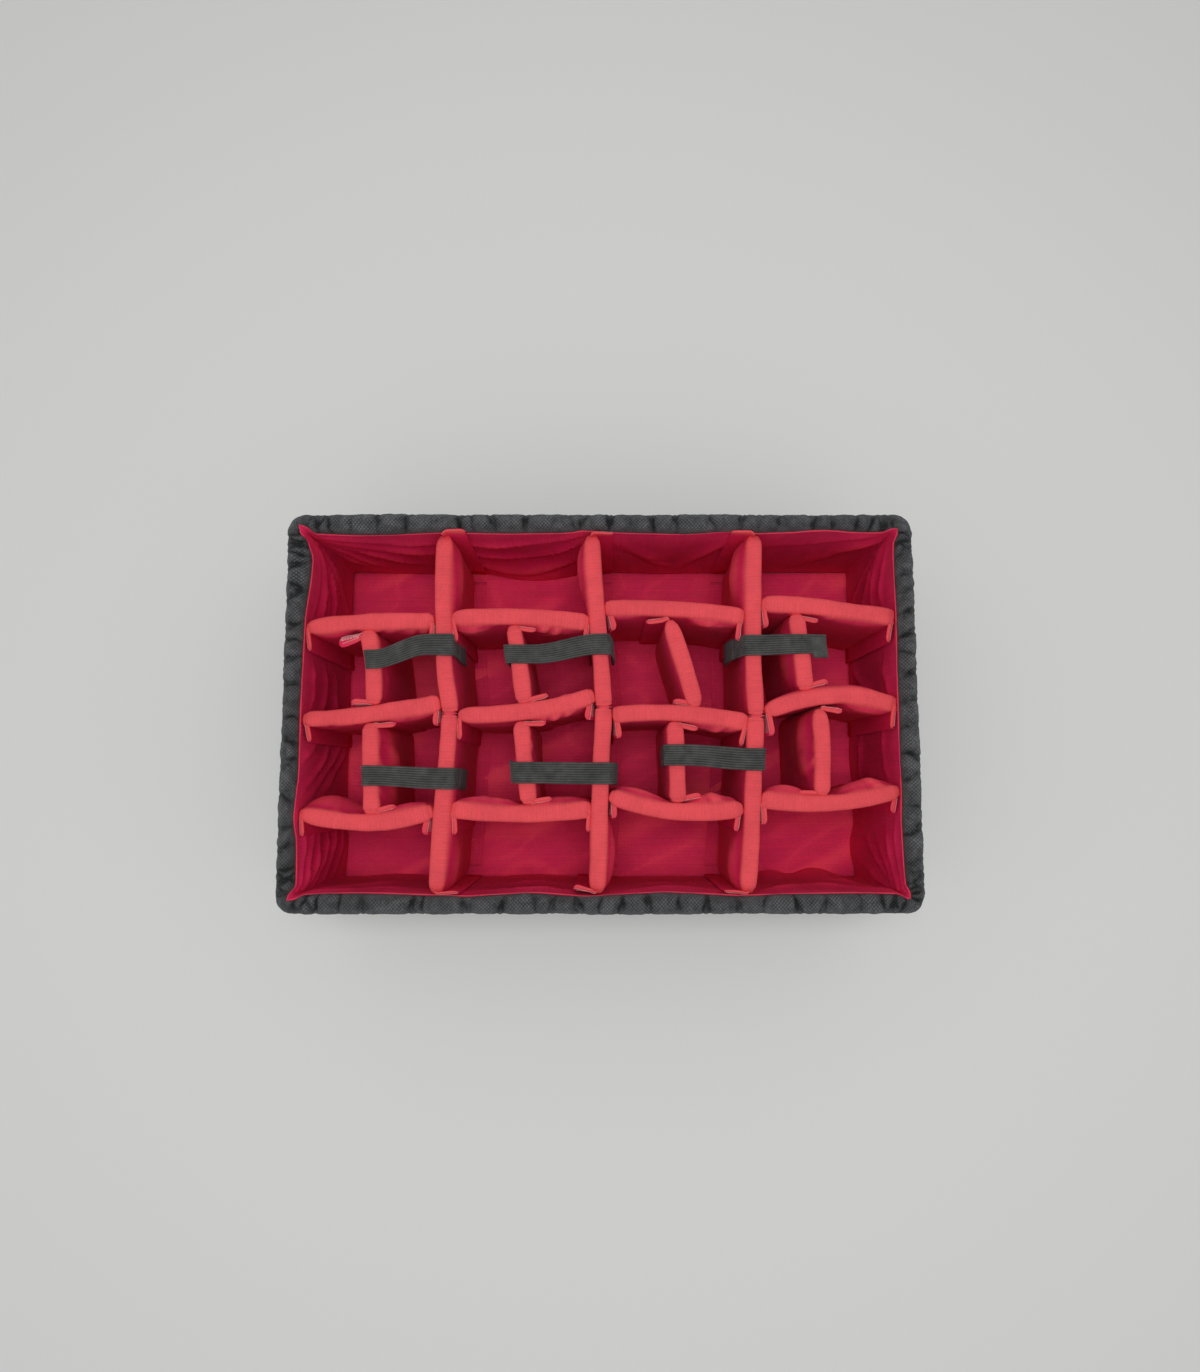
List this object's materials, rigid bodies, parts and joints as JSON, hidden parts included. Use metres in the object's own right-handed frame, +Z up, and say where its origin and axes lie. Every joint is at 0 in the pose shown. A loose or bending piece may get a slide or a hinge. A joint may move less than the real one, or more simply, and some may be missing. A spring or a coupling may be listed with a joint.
{
  "type": "padded divider set",
  "caption": "Padded liner box with movable foam dividers, fabric hook tabs and elastic straps that split a hard transport case into compartments for camera gear.",
  "frame": {"origin": "centre of the underside of the base", "axes": "+X along the liner to its right end, +Y to its back wall, +Z up out of the compartments"},
  "size_m": [0.712, 0.448, 0.222],
  "materials": {
    "red_fabric": "matte",
    "black_nylon": "satin",
    "black_elastic": "matte",
    "grey_foam": "matte"
  },
  "bodies": {
    "liner": {"back_wall_foam": "grey_foam", "back_nylon_cover": "black_nylon", "back_wall_lining": "red_fabric", "front_wall_foam": "grey_foam", "front_nylon_cover": "black_nylon", "front_wall_lining": "red_fabric", "left_wall_foam": "grey_foam", "left_nylon_cover": "black_nylon", "left_wall_lining": "red_fabric", "right_wall_foam": "grey_foam", "right_nylon_cover": "black_nylon", "right_wall_lining": "red_fabric", "base_panel": "black_nylon", "floor_foam": "grey_foam", "floor_lining": "red_fabric"},
    "left_long": {"left_long_back_pad": "red_fabric", "left_long_front_pad": "red_fabric", "left_long_joint": "red_fabric"},
    "middle_long": {"middle_long_back_pad": "red_fabric", "middle_long_front_pad": "red_fabric", "middle_long_joint": "red_fabric"},
    "right_long": {"right_long_back_pad": "red_fabric", "right_long_front_pad": "red_fabric", "right_long_joint": "red_fabric"},
    "back_cross_1": {"back_cross_1": "red_fabric"},
    "back_cross_2": {"back_cross_2": "red_fabric"},
    "back_cross_3": {"back_cross_3": "red_fabric"},
    "back_cross_4": {"back_cross_4": "red_fabric"},
    "middle_cross_1": {"middle_cross_1": "red_fabric"},
    "middle_cross_2": {"middle_cross_2": "red_fabric"},
    "middle_cross_3": {"middle_cross_3": "red_fabric"},
    "middle_cross_4": {"middle_cross_4": "red_fabric"},
    "front_cross_1": {"front_cross_1": "red_fabric"},
    "front_cross_2": {"front_cross_2": "red_fabric"},
    "front_cross_3": {"front_cross_3": "red_fabric"},
    "front_cross_4": {"front_cross_4": "red_fabric"},
    "back_short_1": {"back_short_1": "red_fabric", "back_strap_1_tab": "black_elastic"},
    "back_strap_1": {"back_strap_1_band": "black_elastic"},
    "back_short_2": {"back_short_2": "red_fabric", "back_strap_2_tab": "black_elastic"},
    "back_strap_2": {"back_strap_2_band": "black_elastic"},
    "back_short_3_hook_tab": {"back_short_3_hook_tab": "red_fabric"},
    "back_short_3": {"back_short_3": "red_fabric"},
    "back_short_4": {"back_short_4": "red_fabric", "back_strap_4_tab": "black_elastic"},
    "back_strap_4": {"back_strap_4_band": "black_elastic"},
    "front_short_1": {"front_short_1": "red_fabric", "front_strap_1_tab": "black_elastic"},
    "front_strap_1": {"front_strap_1_band": "black_elastic"},
    "front_short_2": {"front_short_2": "red_fabric", "front_strap_2_tab": "black_elastic"},
    "front_strap_2": {"front_strap_2_band": "black_elastic"},
    "front_short_3": {"front_short_3": "red_fabric", "front_strap_3_tab": "black_elastic"},
    "front_strap_3": {"front_strap_3_band": "black_elastic"},
    "front_short_4_hook_tab": {"front_short_4_hook_tab": "red_fabric"},
    "front_short_4": {"front_short_4": "red_fabric"}
  },
  "joints": [
    {"name": "left_long_lift", "type": "slide", "parent": "liner", "child": "left_long", "axis": [0, 0, 1], "range_m": [0, 0.215]},
    {"name": "middle_long_lift", "type": "slide", "parent": "liner", "child": "middle_long", "axis": [0, 0, 1], "range_m": [0, 0.215]},
    {"name": "right_long_lift", "type": "slide", "parent": "liner", "child": "right_long", "axis": [0, 0, 1], "range_m": [0, 0.215]},
    {"name": "back_cross_1_lift", "type": "slide", "parent": "left_long", "child": "back_cross_1", "axis": [0, 0, 1], "range_m": [0, 0.215]},
    {"name": "back_cross_2_lift", "type": "slide", "parent": "middle_long", "child": "back_cross_2", "axis": [0, 0, 1], "range_m": [0, 0.215]},
    {"name": "back_cross_3_lift", "type": "slide", "parent": "right_long", "child": "back_cross_3", "axis": [0, 0, 1], "range_m": [0, 0.215]},
    {"name": "back_cross_4_lift", "type": "slide", "parent": "right_long", "child": "back_cross_4", "axis": [0, 0, 1], "range_m": [0, 0.215]},
    {"name": "middle_cross_1_lift", "type": "slide", "parent": "left_long", "child": "middle_cross_1", "axis": [0, 0, 1], "range_m": [0, 0.215]},
    {"name": "middle_cross_2_lift", "type": "slide", "parent": "middle_long", "child": "middle_cross_2", "axis": [0, 0, 1], "range_m": [0, 0.215]},
    {"name": "middle_cross_3_lift", "type": "slide", "parent": "right_long", "child": "middle_cross_3", "axis": [0, 0, 1], "range_m": [0, 0.215]},
    {"name": "middle_cross_4_lift", "type": "slide", "parent": "right_long", "child": "middle_cross_4", "axis": [0, 0, 1], "range_m": [0, 0.215]},
    {"name": "front_cross_1_lift", "type": "slide", "parent": "left_long", "child": "front_cross_1", "axis": [0, 0, 1], "range_m": [0, 0.215]},
    {"name": "front_cross_2_lift", "type": "slide", "parent": "middle_long", "child": "front_cross_2", "axis": [0, 0, 1], "range_m": [0, 0.215]},
    {"name": "front_cross_3_lift", "type": "slide", "parent": "right_long", "child": "front_cross_3", "axis": [0, 0, 1], "range_m": [0, 0.215]},
    {"name": "front_cross_4_lift", "type": "slide", "parent": "right_long", "child": "front_cross_4", "axis": [0, 0, 1], "range_m": [0, 0.215]},
    {"name": "back_short_1_lift", "type": "slide", "parent": "left_long", "child": "back_short_1", "axis": [0, 0, 1], "range_m": [0, 0.215]},
    {"name": "back_strap_1_flip", "type": "hinge", "parent": "back_short_1", "child": "back_strap_1", "pos_m": [-0.26414, 0.05737, 0.2133], "axis": [0.1513, -0.9885, 0], "range_deg": [0, 110]},
    {"name": "back_short_2_lift", "type": "slide", "parent": "middle_long", "child": "back_short_2", "axis": [0, 0, 1], "range_m": [0, 0.215]},
    {"name": "back_strap_2_flip", "type": "hinge", "parent": "back_short_2", "child": "back_strap_2", "pos_m": [-0.10351, 0.06147, 0.2133], "axis": [0.1643, -0.9864, 0], "range_deg": [0, 110]},
    {"name": "back_short_3_lift", "type": "slide", "parent": "right_long", "child": "back_short_3_hook_tab", "axis": [0, 0, 1], "range_m": [0, 0.215]},
    {"name": "back_short_3_swing", "type": "hinge", "parent": "back_short_3_hook_tab", "child": "back_short_3", "pos_m": [0.07951, 0.10716, 0.0104], "axis": [0, 0, 1], "range_deg": [0, 25]},
    {"name": "back_short_4_lift", "type": "slide", "parent": "right_long", "child": "back_short_4", "axis": [0, 0, 1], "range_m": [0, 0.215]},
    {"name": "back_strap_4_flip", "type": "hinge", "parent": "back_short_4", "child": "back_strap_4", "pos_m": [0.23837, 0.06885, 0.2133], "axis": [-0.1134, 0.9935, 0], "range_deg": [0, 110]},
    {"name": "front_short_1_lift", "type": "slide", "parent": "left_long", "child": "front_short_1", "axis": [0, 0, 1], "range_m": [0, 0.215]},
    {"name": "front_strap_1_flip", "type": "hinge", "parent": "front_short_1", "child": "front_strap_1", "pos_m": [-0.26621, -0.07335, 0.2133], "axis": [0.0391, -0.9992, 0], "range_deg": [0, 110]},
    {"name": "front_short_2_lift", "type": "slide", "parent": "middle_long", "child": "front_short_2", "axis": [0, 0, 1], "range_m": [0, 0.215]},
    {"name": "front_strap_2_flip", "type": "hinge", "parent": "front_short_2", "child": "front_strap_2", "pos_m": [-0.09338, -0.07008, 0.2133], "axis": [0.0924, -0.9957, 0], "range_deg": [0, 110]},
    {"name": "front_short_3_lift", "type": "slide", "parent": "right_long", "child": "front_short_3", "axis": [0, 0, 1], "range_m": [0, 0.215]},
    {"name": "front_strap_3_flip", "type": "hinge", "parent": "front_short_3", "child": "front_strap_3", "pos_m": [0.07574, -0.0504, 0.2133], "axis": [0.0256, -0.9997, 0], "range_deg": [0, 110]},
    {"name": "front_short_4_lift", "type": "slide", "parent": "right_long", "child": "front_short_4_hook_tab", "axis": [0, 0, 1], "range_m": [0, 0.215]},
    {"name": "front_short_4_swing", "type": "hinge", "parent": "front_short_4_hook_tab", "child": "front_short_4", "pos_m": [0.24796, 0.00482, 0.0104], "axis": [0, 0, 1], "range_deg": [-25, 0]}
  ]
}
